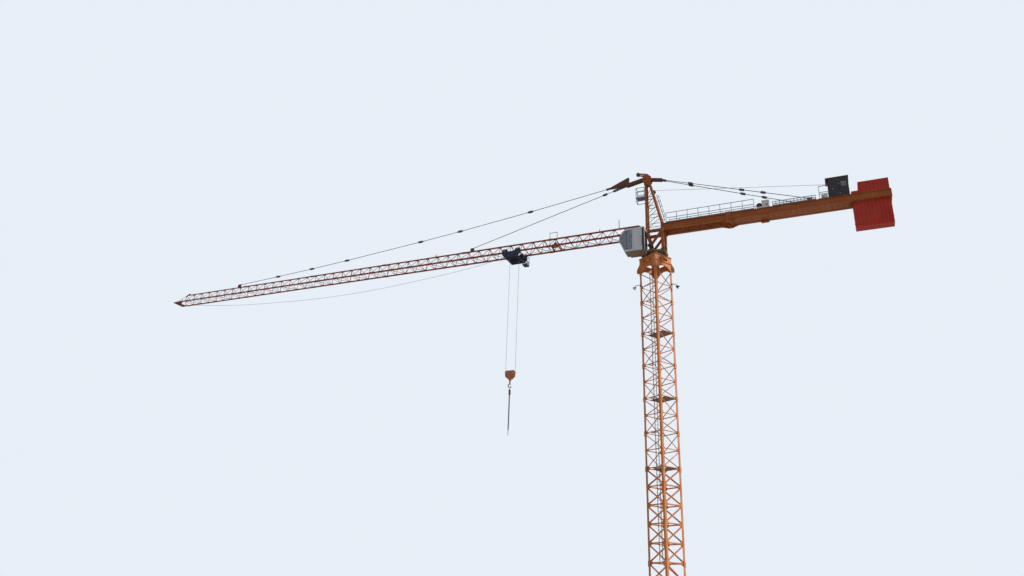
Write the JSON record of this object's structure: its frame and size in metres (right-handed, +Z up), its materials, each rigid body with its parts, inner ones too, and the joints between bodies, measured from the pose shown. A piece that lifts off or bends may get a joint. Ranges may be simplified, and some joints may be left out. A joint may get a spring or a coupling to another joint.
{
  "type": "1:10 model of a tower crane",
  "caption": "Tower crane with a lattice mast, slewing upper part, tied lattice jib with a travelling trolley and hook, and a counter-jib with ballast slabs.",
  "frame": {"origin": "on the axis of the mast at the underside of the foundation frame", "axes": "+X along the jib towards its tip, +Y towards the side with the cab, +Z up"},
  "size_m": [8.046, 0.6752, 4.1014],
  "materials": {
    "mast_paint": "weathered orange paint",
    "upper_paint": "weathered orange paint",
    "jib_paint": "weathered red-orange paint",
    "red_paint": "red paint",
    "white_paint": "white paint",
    "window": "tinted glass",
    "blue_grey_paint": "blue-grey paint",
    "galvanised": "galvanised steel",
    "dark_paint": "dark grey paint",
    "brown_paint": "brown paint",
    "navy_paint": "navy paint",
    "steel_rope": "greased wire rope",
    "sling_cloth": "grey-blue round sling",
    "dark_steel": "dark steel"
  },
  "bodies": {
    "mast": {"foundation_frame": "mast_paint", "base_section": "mast_paint", "heavy_section": "mast_paint", "mast_section_1": "mast_paint", "mast_section_2": "mast_paint", "mast_section_3": "mast_paint", "mast_section_4": "mast_paint", "mast_section_5": "mast_paint", "top_section": "mast_paint", "mast_access": "galvanised", "slewing_support": "mast_paint", "slewing_ring": "dark_paint", "floodlights": "galvanised"},
    "upper": {"turntable": "dark_paint", "slewing_motors": "dark_paint", "slewing_tower": "upper_paint", "cathead": "upper_paint", "apex_head": "jib_paint", "apex_pulley": "dark_paint", "head_links": "jib_paint", "head_access": "blue_grey_paint", "cab_shell": "white_paint", "cab_glazing": "window", "cab_platform": "blue_grey_paint", "jib_section_1": "jib_paint", "jib_section_2": "jib_paint", "jib_section_3": "jib_paint", "jib_section_4": "jib_paint", "jib_section_5": "jib_paint", "jib_section_6": "jib_paint", "jib_tip": "jib_paint", "jib_fittings": "white_paint", "trolley_winch": "brown_paint", "long_tie": "jib_paint", "short_tie": "jib_paint", "rear_ties": "jib_paint", "counter_jib_inner": "upper_paint", "counter_jib_outer": "upper_paint", "walkways": "blue_grey_paint", "counter_jib_cabinet": "white_paint", "winch_house": "dark_paint", "counterweights": "red_paint", "hoist_rope": "steel_rope", "jib_rope": "steel_rope", "dead_end_rope": "steel_rope"},
    "head_sheave": {"head_sheave": "dark_steel"},
    "root_sheave": {"root_sheave": "dark_steel"},
    "trolley": {"trolley_frame": "navy_paint", "trolley_basket": "galvanised", "hoist_falls": "steel_rope"},
    "wheels_in": {"trolley_wheels_in": "dark_steel"},
    "wheels_out": {"trolley_wheels_out": "dark_steel"},
    "trolley_sheave_in": {"trolley_sheave_in": "dark_steel"},
    "trolley_sheave_out": {"trolley_sheave_out": "dark_steel"},
    "hook_block": {"block_frame": "upper_paint"},
    "block_sheave_in": {"block_sheave_in": "dark_steel"},
    "block_sheave_out": {"block_sheave_out": "dark_steel"},
    "hook": {"swivel_hook": "dark_steel", "sling_fittings": "dark_steel", "sling": "sling_cloth"}
  },
  "joints": [
    {"name": "slew", "type": "hinge", "parent": "mast", "child": "upper", "pos_m": [0, 0, 3.1652], "axis": [0, 0, 1], "continuous": true},
    {"name": "trolley_travel", "type": "slide", "parent": "upper", "child": "trolley", "axis": [1, 0, 0], "range_m": [-1, 4.35], "deforming": ["jib_rope", "dead_end_rope"]},
    {"name": "hoist", "type": "slide", "parent": "trolley", "child": "hook_block", "axis": [0, 0, 1], "range_m": [-1.48, 0.98], "deforming": ["hoist_falls"]},
    {"name": "hook_swivel", "type": "hinge", "parent": "hook_block", "child": "hook", "pos_m": [1.44, 0, 2.0944], "axis": [0, 0, 1], "continuous": true},
    {"name": "wheels_in_roll", "type": "hinge", "parent": "trolley", "child": "wheels_in", "pos_m": [1.37, 0, 3.4222], "axis": [0, 1, 0], "range_deg": [-5730.6, 24924.7]},
    {"name": "wheels_out_roll", "type": "hinge", "parent": "trolley", "child": "wheels_out", "pos_m": [1.51, 0, 3.4222], "axis": [0, 1, 0], "range_deg": [-5730.6, 24924.7]},
    {"name": "trolley_sheave_in_turn", "type": "hinge", "parent": "trolley", "child": "trolley_sheave_in", "pos_m": [1.3707, 0, 3.3801], "axis": [0, 1, 0], "range_deg": [-5911.3, 8926.8]},
    {"name": "trolley_sheave_out_turn", "type": "hinge", "parent": "trolley", "child": "trolley_sheave_out", "pos_m": [1.5093, 0, 3.3801], "axis": [0, 1, 0], "range_deg": [-13118.3, 3016.5]},
    {"name": "block_sheave_in_turn", "type": "hinge", "parent": "hook_block", "child": "block_sheave_in", "pos_m": [1.4093, 0, 2.1564], "axis": [0, 1, 0], "range_deg": [-4463.9, 2956.2]},
    {"name": "block_sheave_out_turn", "type": "hinge", "parent": "hook_block", "child": "block_sheave_out", "pos_m": [1.4707, 0, 2.1564], "axis": [0, 1, 0], "range_deg": [-4463.9, 2956.2]},
    {"name": "root_sheave_turn", "type": "hinge", "parent": "upper", "child": "root_sheave", "pos_m": [0.106, 0, 3.4187], "axis": [0, 1, 0], "range_deg": [-8926.8, 5911.3]},
    {"name": "head_sheave_turn", "type": "hinge", "parent": "upper", "child": "head_sheave", "pos_m": [-0.01, 0, 3.8554], "axis": [0, 1, 0], "range_deg": [-5911.3, 8926.8]}
  ],
  "couplings": [
    {"joint": "wheels_in_roll", "follows": "trolley_travel", "rad_per_m": 100},
    {"joint": "wheels_out_roll", "follows": "trolley_travel", "rad_per_m": 100},
    {"joint": "trolley_sheave_out_turn", "follows": "trolley_travel", "rad_per_m": -52.63},
    {"joint": "trolley_sheave_in_turn", "follows": "hoist", "rad_per_m": -105.26},
    {"joint": "block_sheave_in_turn", "follows": "hoist", "rad_per_m": 52.63},
    {"joint": "block_sheave_out_turn", "follows": "hoist", "rad_per_m": 52.63},
    {"joint": "root_sheave_turn", "follows": "hoist", "rad_per_m": 105.26},
    {"joint": "head_sheave_turn", "follows": "hoist", "rad_per_m": -105.26}
  ]
}
